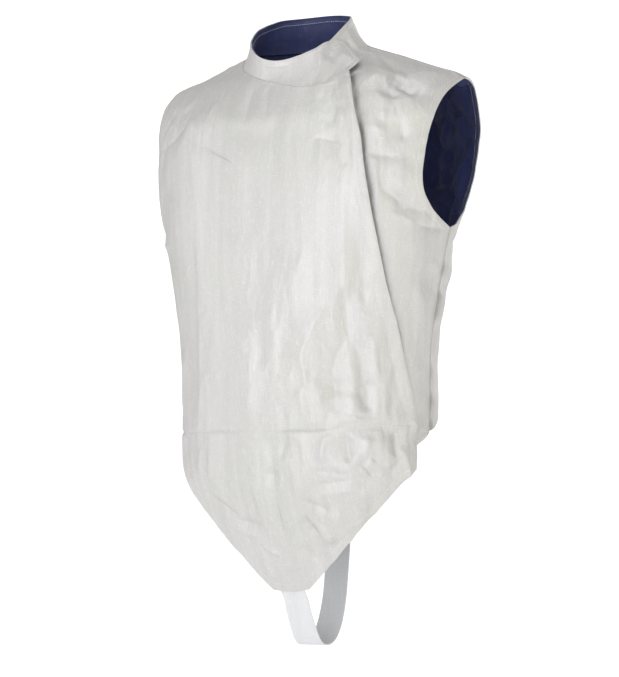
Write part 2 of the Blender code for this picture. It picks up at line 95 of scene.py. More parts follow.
# Creases copied from what shows, then the like of them for the sides and back. Each row: turn of
# one end (0 at the front, 90 at the wearer's left), its height, the other end's turn and height,
# and in millimetres the bow to one side, how far each flank reaches, the picture's left one first,
# and the rise. A trough is negative.
CREASES = np.array([
    [-17, -0.051, -13, -0.094, 1, 8, 10, -1.6],
    [-4, -0.058, 1, -0.091, 0, 7, 8, -1.0],
    [-41, -0.074, -36, -0.147, 1, 7, 7, 1.6],
    [-15, -0.109, -18, -0.208, 1, 9, 14, 0.8],
    [34, -0.072, 41, -0.083, -1, 5, 6, -1.2],
    [41, -0.083, 38, -0.107, -1, 6, 6, -1.3],
    [31, -0.123, 41, -0.128, 0, 5, 5, -1.2],
    [41, -0.129, 43, -0.159, 0, 6, 7, -0.9],
    [-59, -0.071, -54, -0.097, -1, 6, 8, -1.4],
    [-54, -0.097, -68, -0.118, -2, 6, 7, -1.4],
    [-67, -0.075, -70, -0.098, -1, 5, 6, -1.1],
    [80, -0.021, 64, -0.068, 1, 5, 8, -2.4],
    [78, -0.034, 70, -0.070, 1, 5, 8, -2.2],
    [70, -0.070, 74, -0.065, 0, 5, 6, -1.6],
    [53, -0.142, 62, -0.146, 0, 6, 5, -2.0],
    [51, -0.109, 59, -0.116, -1, 9, 9, 1.4],
    [57, -0.148, 58, -0.187, 1, 6, 12, -2.2],
    [65, -0.150, 64, -0.189, -1, 14, 7, 1.8],
    [65, -0.102, 66, -0.125, 0, 7, 8, -1.8],
    [59, -0.187, 72, -0.205, 1, 6, 5, -1.9],
    [56, -0.147, 56, -0.194, 0, 7, 5, 1.5],
    [63, -0.206, 79, -0.210, -1, 6, 6, -1.4],
    [42, -0.160, 45, -0.310, 1, 30, 9, 1.9],
    [49, -0.242, 52, -0.310, 0, 6, 16, -1.9],
    [41, -0.296, 41, -0.353, 3, 12, 7, 1.8],
    [44, -0.299, 46, -0.353, 2, 6, 22, -2.8],
    [35, -0.317, 24, -0.369, 1, 7, 12, 2.2],
    [24, -0.369, 27, -0.410, 1, 6, 8, 2.0],
    [45, -0.353, 39, -0.383, 1, 6, 18, -2.2],
    [39, -0.383, 41, -0.418, 1, 6, 14, -1.9],
    [48, -0.355, 53, -0.405, -1, 5, 20, -2.7],
    [56, -0.351, 59, -0.401, 0, 14, 6, 1.8],
    [47, -0.380, 49, -0.417, 0, 5, 7, 2.0],
    [55, -0.404, 55, -0.435, 0, 9, 9, -2.6],
    [31, -0.401, 34, -0.430, 1, 8, 9, 1.5],
    [39, -0.401, 41, -0.437, 1, 9, 12, -1.9],
    [23, -0.412, 28, -0.452, 1, 9, 6, 1.8],
    [48, -0.418, 50, -0.451, 0, 16, 8, 1.8],
    [-13, -0.344, -5, -0.384, 1, 7, 9, 1.5],
    [-5, -0.384, -7, -0.437, -1, 13, 6, 1.9],
    [24, -0.258, 17, -0.305, -1, 14, 12, 1.3],
    [-39, -0.397, -42, -0.428, 0, 6, 5, 1.2],
    [-16, -0.235, -16, -0.290, 0, 12, 9, 0.9],
    [6, -0.322, 9, -0.357, 0, 5, 7, 0.9],
    [6, -0.464, 5, -0.520, 0, 26, 13, -4.2],
    [5, -0.513, 7, -0.585, 1, 7, 10, -2.3],
    [15, -0.462, 12, -0.490, 0, 4, 5, -2.8],
    [36, -0.465, 34, -0.492, 1, 5, 5, 2.4],
    [45, -0.465, 47, -0.492, 0, 9, 6, -3.5],
    [55, -0.467, 53, -0.489, 0, 8, 6, 2.8],
    [60, -0.455, 60, -0.483, 0, 4, 6, 1.6],
    [63, -0.465, 65, -0.508, 1, 8, 12, 2.3],
    [70, -0.480, 75, -0.515, 0, 6, 10, 2.8],
    [54, -0.526, 59, -0.554, 1, 6, 9, 3.5],
    [44, -0.554, 43, -0.587, 0, 7, 8, 3.1],
    [24, -0.559, 33, -0.576, 1, 5, 7, -3.1],
    [32, -0.504, 46, -0.508, 0, 6, 5, -1.8],
    [32, -0.520, 47, -0.514, 1, 6, 5, -1.8],
    [35, -0.531, 50, -0.525, 0, 6, 6, 1.9],
    [24, -0.536, 38, -0.549, 1, 5, 6, -2.3],
    [-48, -0.531, -30, -0.555, 1, 6, 6, -3.0],
    [-32, -0.561, -13, -0.569, 1, 5, 6, -2.1],
    [-36, -0.568, -19, -0.580, 1, 5, 5, 2.8],
    [-15, -0.592, 1, -0.603, 1, 5, 5, 2.8],
    [-18, -0.600, -18, -0.634, 1, 6, 10, 3.0],
    [-42, -0.481, -45, -0.514, 0, 5, 5, 1.8],
    [-34, -0.481, -38, -0.519, 0, 5, 5, 1.8],
    [52, -0.494, 58, -0.510, 1, 4, 5, -2.8],
    [57, -0.492, 53, -0.505, 0, 4, 5, 2.4],
    [20, -0.594, 35, -0.608, 1, 5, 6, -2.1],
    [5, -0.621, 25, -0.616, 0, 5, 6, 1.8],
    [-52, -0.064, -39, -0.187, 1, 6, 6, 0.8],
    [-39, -0.187, -43, -0.434, -2, 5, 5, 0.7],
    [48, -0.056, 47, -0.127, 0, 8, 8, 1.5],
    [47, -0.127, 50, -0.214, 2, 8, 8, 1.7],
    [64, -0.508, 70, -0.489, 2, 6, 6, -2.4],
    [68, -0.458, 68, -0.486, 2, 6, 6, -3.1],
    [64, -0.055, 65, -0.075, 2, 6, 6, -2.2],
    [72, -0.049, 68, -0.063, -2, 5, 5, -1.9],
    [68, -0.062, 73, -0.072, 1, 5, 5, -1.8],
    [80, -0.012, 60, -0.053, -2, 6, 6, 1.7],
    [76, -0.066, 85, -0.043, 1, 6, 6, 1.8],
    [60, -0.184, 65, -0.203, -2, 6, 6, -1.8],
    [70, -0.219, 83, -0.226, 2, 5, 5, -1.7],
    [62, -0.211, 76, -0.222, 2, 5, 5, 1.3],
    [68, -0.305, 71, -0.366, 4, 10, 10, -1.3],
    [77, -0.292, 83, -0.382, -5, 10, 10, 1.5],
    [83, -0.27, 79, -0.296, 2, 6, 6, -1.4],
    [100, -0.262, 96, -0.33, 4, 9, 9, 1.8],
    [93, -0.34, 98, -0.41, -4, 8, 8, -1.9],
    [108, -0.3, 104, -0.388, 5, 10, 10, -1.7],
    [112, -0.225, 96, -0.238, -3, 6, 6, -1.7],
    [118, -0.17, 106, -0.214, 5, 8, 8, 1.9],
    [124, -0.356, 118, -0.424, -4, 9, 9, 2.1],
    [132, -0.11, 140, -0.17, 6, 9, 9, -2.0],
    [121, -0.12, 128, -0.162, -4, 8, 8, 1.8],
    [146, -0.06, 128, -0.082, 3, 8, 8, -1.8],
    [150, -0.196, 145, -0.262, 5, 11, 11, 2.0],
    [158, -0.3, 150, -0.364, -5, 9, 9, -2.1],
    [141, -0.29, 146, -0.35, 4, 9, 9, 2.1],
    [164, -0.37, 168, -0.43, -4, 9, 9, 2.0],
    [172, -0.24, 176, -0.33, 5, 10, 10, -1.9],
    [170, -0.06, 158, -0.066, -2, 7, 7, 1.5],
    [-178, -0.12, -172, -0.19, -5, 12, 12, 1.7],
    [-174, -0.33, -168, -0.412, 5, 9, 9, 2.1],
    [-163, -0.27, -168, -0.33, -4, 8, 8, -1.9],
    [-158, -0.36, -152, -0.43, 4, 9, 9, -2.1],
    [-148, -0.23, -154, -0.3, 5, 10, 10, 1.9],
    [-140, -0.33, -146, -0.404, -4, 9, 9, 2.0],
    [-134, -0.15, -142, -0.09, -5, 9, 9, -2.0],
    [-124, -0.19, -132, -0.13, 4, 8, 8, 1.8],
    [-150, -0.064, -134, -0.082, -3, 8, 8, -1.7],
    [-126, -0.292, -120, -0.372, 4, 9, 9, -1.8],
    [-112, -0.228, -98, -0.242, 3, 6, 6, -1.8],
    [-110, -0.3, -106, -0.36, -4, 9, 9, 1.8],
    [-96, -0.35, -101, -0.42, 4, 8, 8, -1.9],
    [-90, -0.262, -94, -0.322, -4, 8, 8, 1.7],
    [-84, -0.226, -68, -0.214, 2, 5, 5, -1.7],
    [-80, -0.24, -62, -0.236, -3, 6, 6, 1.4],
    [-74, -0.3, -78, -0.372, 4, 9, 9, -1.6],
    [-64, -0.27, -60, -0.342, -4, 10, 10, 1.4],
    [-58, -0.372, -62, -0.436, 3, 8, 8, 1.7],
    [-72, -0.15, -60, -0.182, 4, 7, 7, -1.5],
    [-62, -0.47, -57, -0.512, 3, 7, 7, -2.8],
])

# How round the crests and valleys are, how high all creases are made, how their flanks narrow from
# one end to the other, how sharply they end, and how far to each side and up they are worked out.
CREST = 0.0007
CREASED = 1.6
TAPER, TAPER_END = 0.25, 1.5
END_SHARPNESS = 7
CREASE_SIDEWAYS, CREASE_UPWARDS = 0.09, 0.06

# The finer crumple, coarsest first: size and rise in millimetres, and how sharply it is folded.
# Its pattern is drawn out upwards and wanders. The seeds choose the patterns.
CRUMPLE = ((52, 1.6, 0.2), (29, 1.3, 0.8), (15, 0.55, 0.9), (8, 0.16, 0.8))
CRUMPLE_SEED, CRUMPLE_WAY_SEED = 10, 20
FINE_CRUMPLE = 18
DRAWN_UP = 0.42
WANDER, WANDER_SIZE, WANDER_SEEDS = 0.010, 0.040, (1, 2, 3)
FOLD_TOP, FOLD_FALL, FOLD_SOFTNESS, FOLD_RISE = 1.2, 2.6, 0.05, 1.6

# Where the cloth is crumpled most: turn, height, half width and half height in metres, and how
# much more than elsewhere, where it is crumpled evenly. The upper chest stays smoother.
EVENLY, FINE_EVENLY = 0.60, 0.30
CRUMPLED_MORE = (
    (38, -0.350, 0.075, 0.095, 0.80),
    (5, -0.330, 0.090, 0.090, 0.60),
    (-28, -0.320, 0.050, 0.080, 0.35),
    (48, -0.500, 0.075, 0.070, 2.10),
    (18, -0.550, 0.080, 0.080, 2.20),
    (66, -0.060, 0.045, 0.050, 1.10),
    (60, -0.170, 0.050, 0.060, 0.70),
    (-60, -0.100, 0.050, 0.040, 0.80),
    (34, -0.110, 0.045, 0.035, 0.50),
    (84, -0.330, 0.035, 0.110, 0.40),
    (118, -0.340, 0.090, 0.090, 0.45),
    (180, -0.350, 0.120, 0.090, 0.55),
    (-125, -0.300, 0.090, 0.100, 0.50),
    (150, -0.080, 0.060, 0.050, 0.45),
    (-150, -0.080, 0.060, 0.050, 0.40),
)

# Sewn edges are pulled in along a dip, and pucker. The waist seam's dip comes and goes, and fades
# out towards the sides, and its two edges meet.
SEWN_GAP = 0.0025
SEAM_DIP, SEAM_DIP_WIDTH = 0.0009, 0.0022
SEAM_CHANGE, SEAM_CHANGE_SEED = 0.055, 61
SEAM_MIDDLE, SEAM_LEAST = 0.45, 0.12
WAIST_DIP, WAIST_DIP_WIDTH = 0.0004, 0.0040
WAIST, WAIST_FADES, WAIST_FADE = -0.40, 46, 10
WAIST_MEETS, WAIST_LAP = 0.0001, 0.8
PUCKER, PUCKER_SIZE, PUCKER_REACH, PUCKER_SEED = 0.0008, 0.010, 0.013, 31
WIDER_PUCKER, WIDER_PUCKER_SHARE, WIDER_PUCKER_SEED = 2.3, 0.6, 32
PUCKER_ENDS, FADE_SHARPNESS = 2.2, 4
NECK_LIFT, NECK_LIFT_WIDTH = 0.0005, 0.0030
NECK_REACH = 0.006

# The side seams below the arms pucker more, and their edges roll in.
UNDER_ARM = -0.2
SIDE_PUCKER, SIDE_FROM, SIDE_TO = 0.0034, 62, 78
SIDE_REACH, SIDE_SIZE, SIDE_SEED = 0.018, 0.017, 33
SIDE_ROLL, SIDE_ROLL_WIDTH, SIDE_ROLL_CHANGE = 0.0012, 0.010, 0.5

# Turned edges are rounded over and dip along their stitches. The flap's edge stands off, and
# presses the left front in under it. Seams and the flap calm the creases beside them.
TURNED_DROP, TURNED_WIDTH = 0.0005, 0.0015
GROOVE, GROOVE_WIDTH = 0.0004, 0.0018
HEM_PUCKER, HEM_PUCKER_SIZE, HEM_PUCKER_REACH, HEM_PUCKER_SEED = 0.0005, 0.009, 0.009, 41
FLAP_FROM = 0.02
FLAP_LIFT, FLAP_PRESS, FLAP_LIFT_WIDTH = 0.0022, 0.0034, 0.010
FLAP_GROOVE, FLAP_GROOVE_WIDTH = 0.0030, 0.0040
CALM_SEAM, CALM_SEAM_SHARE = 0.006, 0.7
CALM_FLAP, CALM_FLAP_SHARE = 0.012, 0.5

# Shade painted into the lame's colour: along the seams, in patches on the puckers down the sides, and as
# a painted shadow under the flap's edge.
SEAM_PAINTED_SHADE, SEAM_PAINTED_SHADE_WIDTH = 0.30, 0.0020
SIDE_PAINTED_SHADE, SIDE_PAINTED_SHADE_WIDTH = 0.40, 0.0100
SIDE_SHADE_PATCHES, SIDE_SHADE_PATCHES_CHANGE = 0.5, 0.9
FLAP_PAINTED_SHADOW, FLAP_PAINTED_SHADOW_WIDTH = 0.95, 0.0042

# A slack lining hangs in drawn-out wrinkles between its seams. No cloth sinks at the strap's ends.
SLACK_DRAWN = (1, 1, 0.7)
SLACK_WANDER, SLACK_WANDER_SIZE, SLACK_WANDER_SEEDS = 0.012, 0.03, (4, 5, 6)
SLACK_SIZE, SLACK_SEED = 0.034, 51
SLACK_SMALL, SLACK_SMALL_SHARE, SLACK_SMALL_SEED = 0.017, 0.5, 52
SLACK_HELD = 0.012
STRAP_HOLD, STRAP_GRIP = 0.035, 1.6

# Large odd numbers that scatter the cells of the noise, and a step that keeps all cells above zero.
SPREAD_X, SPREAD_Y, SPREAD_Z = np.uint32(73856093), np.uint32(19349663), np.uint32(83492791)
SEED_STEP, SEED_START = 26543, 12345
MIX_FIRST, MIX_LAST = np.uint32(2246822519), np.uint32(3266489917)
HALF_RANGE = 2147483648.0
ABOVE_ZERO = 100


def hashed(cells, seed):
    """A number from -1 to 1 for each whole-number cell."""
    x, y, z = (cells[:, k].astype(np.uint32) for k in range(3))
    n = x * SPREAD_X ^ y * SPREAD_Y ^ z * SPREAD_Z
    n = (n ^ np.uint32(seed * SEED_STEP + SEED_START)) * MIX_FIRST
    n = (n ^ (n >> np.uint32(13))) * MIX_LAST
    n = n ^ (n >> np.uint32(16))
    return n.astype(float) / HALF_RANGE - 1


def noise(points, size, seed):
    """Smooth noise from -1 to 1, with features as large as size, the same in every run."""
    scaled = points / size + ABOVE_ZERO
    cell = np.floor(scaled).astype(np.int64)
    part = scaled - cell
    part = part ** 3 * (part * (part * 6 - 15) + 10)
    total = np.zeros(len(points))
    for corner in np.ndindex(2, 2, 2):
        share = np.prod(np.where(corner, part, 1 - part), axis=1)
        total += share * hashed(cell + corner, seed)
    return total


def turns(points):
    """Turn of each point round the vest in degrees, and its distance from the middle."""
    return np.degrees(np.arctan2(points[:, 0], -points[:, 1])), np.hypot(points[:, 0], points[:, 1])


def creased(points):
    """Rise of the listed creases at each point."""
    turn, across = turns(points)
    rise = np.zeros(len(points))
    for turn_a, height_a, turn_b, height_b, bow, left_width, right_width, height in CREASES:
        middle = (turn_a + turn_b) / 2
        x = np.radians((turn - middle + 180) % 360 - 180) * across
        y = points[:, 2] - (height_a + height_b) / 2
        close = (np.abs(x) < CREASE_SIDEWAYS) & (np.abs(y) < CREASE_UPWARDS + abs(height_a - height_b))
        if not close.any():
            continue
        x, y = x[close], y[close]
        end_x = np.radians(turn_b - middle) * across[close]
        end_y = (height_b - height_a) / 2
        length = np.hypot(end_x, end_y)
        u = (x * end_x + y * end_y) / length ** 2
        side = (x * end_y - y * end_x) / length - bow / 1000 * (1 - u ** 2)
        tapered = 1 - TAPER * np.clip(u, -TAPER_END, TAPER_END)
        width = np.where(side > 0, left_width, right_width) / 1000 * tapered
        ends = 1 / (1 + np.exp((np.abs(u) - 1) * END_SHARPNESS))
        off = np.sqrt(side ** 2 + CREST ** 2) - CREST
        rise[close] += CREASED * height / 1000 * ends * np.exp(-off / width)
    return rise


def crumpled_more(points):
    """How much more than elsewhere the cloth is crumpled at each point."""
    more = np.zeros(len(points))
    turn, across = turns(points)
    for there, height, half_width, half_height, most in CRUMPLED_MORE:
        x = np.radians((turn - there + 180) % 360 - 180) * across / half_width
        y = (points[:, 2] - height) / half_height
        more += most * np.exp(-x ** 2 - y ** 2)
    return more


def crumpled(points, more):
    """Rise of the finer crumple, drawn out upwards and stronger in some places than in others."""
    p = points * [1, 1, DRAWN_UP]
    p = p + WANDER * np.stack([noise(p, WANDER_SIZE, seed) for seed in WANDER_SEEDS], -1)
    rise = np.zeros(len(points))
    for k, (size, height, sharp) in enumerate(CRUMPLE):
        n = noise(p, size / 1000, CRUMPLE_SEED + k)
        way = noise(p, 2 * size / 1000, CRUMPLE_WAY_SEED + k)
        folded = way * (FOLD_TOP - FOLD_FALL * np.sqrt(n ** 2 + FOLD_SOFTNESS ** 2))
        evenly = EVENLY if size > FINE_CRUMPLE else FINE_EVENLY
        rise += height / 1000 * ((1 - sharp) * n + sharp * folded * FOLD_RISE) * (evenly + more)
    return rise


def select_only(obj):
    """Leaves one object selected and active."""
    bpy.ops.object.select_all(action="DESELECT")
    obj.select_set(True)
    bpy.context.view_layer.objects.active = obj


def places(mesh):
    """Every vertex's place."""
    points = np.empty(len(mesh.vertices) * 3)
    mesh.vertices.foreach_get("co", points)
    return points.reshape(-1, 3)


def facings(mesh):
    """Every vertex's normal."""
    normals = np.empty(len(mesh.vertices) * 3)
    mesh.vertex_normals.foreach_get("vector", normals)
    return normals.reshape(-1, 3)


def rim_loops(mesh):
    """The open edges of a sheet as rings of vertex numbers, in order."""
    uses = {}
    for polygon in mesh.polygons:
        for key in polygon.edge_keys:
            uses[key] = uses.get(key, 0) + 1
    ways = {}
    for key, n in uses.items():
        if n == 1:
            ways.setdefault(key[0], []).append(key[1])
            ways.setdefault(key[1], []).append(key[0])
    loops = []
    left = set(ways)
    while left:
        ring = [min(left)]
        left.discard(ring[0])
        while True:
            onward = [at for at in ways[ring[-1]] if at in left]
            if not onward:
                break
            ring.append(onward[0])
            left.discard(onward[0])
        loops.append(ring)
    return loops


def one_face(node, outer):
    """The outer or inner face of a cloth solid, as an open sheet of quads.

    Where the solid's face folds over itself for a few millimetres, the sheet has a slit, and its
    two sides are welded.
    """
    obj = frame["nodes"][node].copy()
    obj.data = obj.data.copy()
    obj.parent = None
    for key in list(obj.keys()):
        del obj[key]
    obj.data.materials.clear()
    while obj.data.uv_layers:
        obj.data.uv_layers.remove(obj.data.uv_layers[0])
    bpy.context.scene.collection.objects.link(obj)
    select_only(obj)
    bpy.ops.object.mode_set(mode="EDIT")
    bpy.ops.mesh.select_mode(type="EDGE")
    bpy.ops.mesh.select_all(action="SELECT")
    bpy.ops.mesh.remove_doubles(threshold=MERGE)
    bpy.ops.mesh.select_all(action="DESELECT")
    bpy.ops.mesh.edges_select_sharp(sharpness=RIM_ANGLE)
    bpy.ops.mesh.edge_split(type="EDGE")
    bpy.ops.mesh.select_all(action="DESELECT")
    bpy.ops.object.mode_set(mode="OBJECT")
    outward = [f.center.xy.to_3d().dot(f.normal) * f.area for f in obj.data.polygons]
    seed = int(np.argmax(outward) if outer else np.argmin(outward))
    obj.data.polygons[seed].select = True
    bpy.ops.object.mode_set(mode="EDIT")
    bpy.ops.mesh.select_mode(type="FACE")
    bpy.ops.mesh.select_linked()
    bpy.ops.mesh.select_all(action="INVERT")
    bpy.ops.mesh.delete(type="FACE")
    bpy.ops.mesh.select_mode(type="VERT")
    bpy.ops.object.mode_set(mode="OBJECT")
    slit = [at for ring in rim_loops(obj.data) if len(ring) < SLIT_SIDES for at in ring]
    bpy.ops.object.mode_set(mode="EDIT")
    bpy.ops.mesh.select_all(action="DESELECT")
    bpy.ops.object.mode_set(mode="OBJECT")
    for at in slit:
        obj.data.vertices[at].select = True
    bpy.ops.object.mode_set(mode="EDIT")
    bpy.ops.mesh.remove_doubles(threshold=SLIT_WIDTH)
    bpy.ops.mesh.select_all(action="SELECT")
    bpy.ops.mesh.tris_convert_to_quads(face_threshold=QUAD_FACES, shape_threshold=QUAD_SHAPES)
    bpy.ops.object.mode_set(mode="OBJECT")
    return obj


def corners(points, ring):
    """Vertex numbers in a ring where the cut turns a corner."""
    found = []
    for k, at in enumerate(ring):
        before = Vector(points[at] - points[ring[k - 1]])
        after = Vector(points[ring[(k + 1) % len(ring)]] - points[at])
        if before.angle(after) > CORNER_ANGLE:
            found.append(at)
    return found


def lay_flat(obj):
    """Unwraps a sheet to its cut in metres, with the grain upwards."""
    select_only(obj)
    bpy.ops.object.mode_set(mode="EDIT")
    bpy.ops.mesh.select_all(action="SELECT")
    bpy.ops.uv.unwrap(method="ANGLE_BASED", margin=0)
    bpy.ops.object.mode_set(mode="OBJECT")
    mesh = obj.data
    layer = mesh.uv_layers.active
    layer.name = "cut"
    uv = np.empty(len(layer.data) * 2)
    layer.data.foreach_get("uv", uv)
    flat = uv.reshape(-1, 2) - uv.reshape(-1, 2).mean(0)
    corner = np.empty(len(mesh.loops), np.int64)
    mesh.loops.foreach_get("vertex_index", corner)
    height = places(mesh)[corner, 2]
    weight = np.exp(-(flat ** 2).sum(1) / (flat ** 2).sum(1).mean() * GRAIN_FOCUS)
    weight = weight / weight.sum()
    centred = flat - weight @ flat
    root = weight[:, None] ** 0.5
    grain = np.linalg.lstsq(centred * root, (height - weight @ height) * root[:, 0], rcond=None)[0]
    turn = pi / 2 - np.arctan2(grain[1], grain[0])
    flat = flat @ np.array([[cos(turn), sin(turn)], [-sin(turn), cos(turn)]])
    worn_area = sum(polygon.area for polygon in mesh.polygons)
    flat_area = 0.0
    for polygon in mesh.polygons:
        ring = flat[list(polygon.loop_indices)]
        onward = np.roll(ring, -1, axis=0)
        flat_area += abs((ring[:, 0] * onward[:, 1] - ring[:, 1] * onward[:, 0]).sum()) / 2
    flat *= (worn_area / flat_area) ** 0.5
    layer.data.foreach_set("uv", flat.ravel())


def skin(node, name, outer, levels):
    """A cloth solid's face as a smooth sheet that keeps its corners, with its cut laid out."""
    obj = one_face(node, outer)
    obj.name = obj.data.name = name
    points = places(obj.data)
    crease = obj.data.attributes.new("crease_vert", "FLOAT", "POINT")
    for ring in rim_loops(obj.data):
        for at in corners(points, ring):
            crease.data[at].value = 1.0
    lay_flat(obj)
    smooth = obj.modifiers.new("smooth", "SUBSURF")
    smooth.levels = smooth.render_levels = levels
    smooth.boundary_smooth = "PRESERVE_CORNERS"
    select_only(obj)
    bpy.ops.object.modifier_apply(modifier="smooth")
    return obj


def tree_of(points):
    """A search tree that finds the nearest of some points."""
    tree = KDTree(len(points))
    for k, point in enumerate(points):
        tree.insert(point, k)
    tree.balance()
    return tree


def nearest(points, rim):
    """Distance from each point to the nearest rim point, and that rim point."""
    if not len(rim):
        return np.full(len(points), 1.0), points
    tree = tree_of(rim)
    found = [tree.find(point) for point in points]
    return np.array([f[2] for f in found]), np.array([f[0] for f in found])


def rim_of(node):
    """Points close together along the rim of an outer piece's outer face."""
    obj = one_face(node, True)
    smooth = obj.modifiers.new("close", "SUBSURF")
    smooth.subdivision_type = "SIMPLE"
    smooth.levels = smooth.render_levels = FINE
    select_only(obj)
    bpy.ops.object.modifier_apply(modifier="close")
    points = places(obj.data)
    rim = points[np.concatenate(rim_loops(obj.data))]
    bpy.data.objects.remove(obj)
    return rim


PANELS = ("front_right", "front_lobe", "front_left", "back", "collar")
panel_rims = {node: rim_of(node) for node in PANELS}
panel_trees = {node: tree_of(rim) for node, rim in panel_rims.items()}


def sewn_at(points, node, gap=SEWN_GAP):
    """True for each rim point that lies along another piece's rim."""
    others = [tree for name, tree in panel_trees.items() if name != node]
    return np.array([min(tree.find(point)[2] for tree in others) < gap for point in points], bool)


rim = panel_rims["front_right"]
flap_edge = rim[~sewn_at(rim, "front_right")]
flap_edge = flap_edge[(flap_edge[:, 0] > FLAP_FROM) & (flap_edge[:, 1] < 0)]
rim = panel_rims["collar"]
neck_edge = rim[sewn_at(rim, "collar")]
strap_line = places(frame["nodes"]["strap"].data)
strap_ends = [max((p for p in strap_line if (p[1] > 0) == behind), key=lambda p: p[2])
              for behind in (False, True)]


def near(distance, width):
    """1 at no distance, falling smoothly to 0 past the width."""
    return np.exp(-(distance / width) ** 2)


def slackened(points, slack, to_edge):
    """How far a slack lining falls away from the cloth that it lines."""
    wandering = np.stack([noise(points, SLACK_WANDER_SIZE, seed) for seed in SLACK_WANDER_SEEDS], -1)
    hang = points * SLACK_DRAWN + SLACK_WANDER * wandering
    small = SLACK_SMALL_SHARE * np.abs(noise(hang, SLACK_SMALL, SLACK_SMALL_SEED))
    loose = np.abs(noise(hang, SLACK_SIZE, SLACK_SEED)) + small
    return slack * loose * (1 - near(to_edge, SLACK_HELD))


def work(obj, node, hem, gap=SEWN_GAP, side=1, slack=0.0):
    """Creases, crumples and puckers a sheet along its outward normals; side is -1 for a lining."""
    mesh = obj.data
    points = places(mesh)
    normals = facings(mesh) * side
    rim = points[np.concatenate(rim_loops(mesh))]
    sewn = sewn_at(rim, node, gap)
    to_sewn, at_sewn = nearest(points, rim[sewn])
    to_free, at_free = nearest(points, rim[~sewn])
    to_flap, _ = nearest(points, flap_edge)
    to_neck, _ = nearest(points, neck_edge)
    crosses = node in ("front_right", "front_lobe")

    more = crumpled_more(points)
    rise = creased(points) + crumpled(points, more)
    rise *= 1 - CALM_SEAM_SHARE * near(to_sewn, CALM_SEAM)
    rise *= 1 - CALM_FLAP_SHARE * near(to_flap, CALM_FLAP)

    seam_turn = np.abs(turns(at_sewn)[0])
    below_arm = at_sewn[:, 2] < UNDER_ARM
    by_flap = (at_sewn[:, 0] > 0) & crosses
    aside = np.where(by_flap, 0, np.clip((seam_turn - SIDE_FROM) / (SIDE_TO - SIDE_FROM), 0, 1))
    strength = PUCKER + (SIDE_PUCKER - PUCKER) * aside * below_arm
    pull = noise(at_sewn, PUCKER_SIZE, PUCKER_SEED)
    pull = pull + WIDER_PUCKER_SHARE * noise(at_sewn, PUCKER_SIZE * WIDER_PUCKER, WIDER_PUCKER_SEED)
    wide = noise(at_sewn, SIDE_SIZE, SIDE_SEED)
    pull = pull + (wide - pull) * aside
    reach = PUCKER_REACH + (SIDE_REACH - PUCKER_REACH) * aside
    ended = 1 / (1 + np.exp((to_sewn / reach - PUCKER_ENDS) * FADE_SHARPNESS))
    held = 1 - np.exp(-to_sewn / SEAM_DIP_WIDTH)
    rise += strength * pull * ended * np.exp(-to_sewn / reach) * held

    away = 1 - near(to_neck, NECK_REACH)
    changing = np.clip(SEAM_MIDDLE + noise(at_sewn, SEAM_CHANGE, SEAM_CHANGE_SEED), SEAM_LEAST, 1)
    fading = 1 / (1 + np.exp((seam_turn - WAIST_FADES) / WAIST_FADE * FADE_SHARPNESS))
    at_waist = (at_sewn[:, 2] < WAIST) & ((seam_turn < SIDE_FROM) | by_flap)
    drawn_in = np.where(at_waist, changing * fading, 1.0)
    dip = np.where(at_waist, WAIST_DIP, SEAM_DIP)
    dip_width = np.where(at_waist, WAIST_DIP_WIDTH, SEAM_DIP_WIDTH)
    rise -= dip * away * drawn_in * near(to_sewn, dip_width)
    rolled = SIDE_ROLL * aside * below_arm * (1 + SIDE_ROLL_CHANGE * wide)
    rise -= rolled * near(to_sewn, SIDE_ROLL_WIDTH)

    if node != "collar":
        rise += NECK_LIFT * near(to_neck, NECK_LIFT_WIDTH)
    if crosses:
        rise += FLAP_LIFT * near(to_flap, FLAP_LIFT_WIDTH)
    if node == "front_left":
        rise -= FLAP_PRESS * near(to_flap, FLAP_LIFT_WIDTH)
        rise -= FLAP_GROOVE * near(to_flap, FLAP_GROOVE_WIDTH)
    rise -= TURNED_DROP * near(to_free, TURNED_WIDTH)
    rise -= GROOVE * near(to_free - hem, GROOVE_WIDTH)
    gathered = noise(at_free, HEM_PUCKER_SIZE, HEM_PUCKER_SEED)
    rise += HEM_PUCKER * gathered * np.exp(-to_free / HEM_PUCKER_REACH)
    if slack:
        rise -= slackened(points, slack, np.minimum(to_sewn, to_free))
    for end in strap_ends:
        gripped = np.minimum(near(np.linalg.norm(points - end, axis=1), STRAP_HOLD) * STRAP_GRIP, 1)
        rise = np.where(rise < 0, rise * (1 - gripped), rise)

    # Painted shade: the colour is darkened along the seam grooves and on the side puckers. On the left
    # front it also gets a painted shadow beside the flap's edge.
    painted_dark = SEAM_PAINTED_SHADE * drawn_in * away * near(to_sewn, SEAM_PAINTED_SHADE_WIDTH)
    shade_patches = np.clip(SIDE_SHADE_PATCHES + SIDE_SHADE_PATCHES_CHANGE * wide, 0, 1)
    painted_dark = painted_dark + SIDE_PAINTED_SHADE * (aside * below_arm) * shade_patches * near(to_sewn, SIDE_PAINTED_SHADE_WIDTH)
    if node == "front_left":
        painted_dark = painted_dark + FLAP_PAINTED_SHADOW * near(to_flap, FLAP_PAINTED_SHADOW_WIDTH)
    painted_shade = mesh.attributes.new("painted_shade", "FLOAT", "POINT")
    painted_shade.data.foreach_set("value", np.clip(painted_dark, 0, 1))
    crumple = mesh.attributes.new("crumple", "FLOAT", "POINT")
    crumple.data.foreach_set("value", np.clip(FINE_EVENLY + more, 0, 1))

    if crosses:
        beside = panel_trees["front_lobe" if node == "front_right" else "front_right"]
        for at in np.nonzero(at_waist & (to_sewn < WAIST_MEETS))[0]:
            met, _, gone = beside.find(points[at])
            if gone < gap:
                points[at, 2] += WAIST_LAP * (met[2] - points[at, 2])
    points += normals * rise[:, None]
    mesh.vertices.foreach_set("co", points.ravel())
    mesh.update()


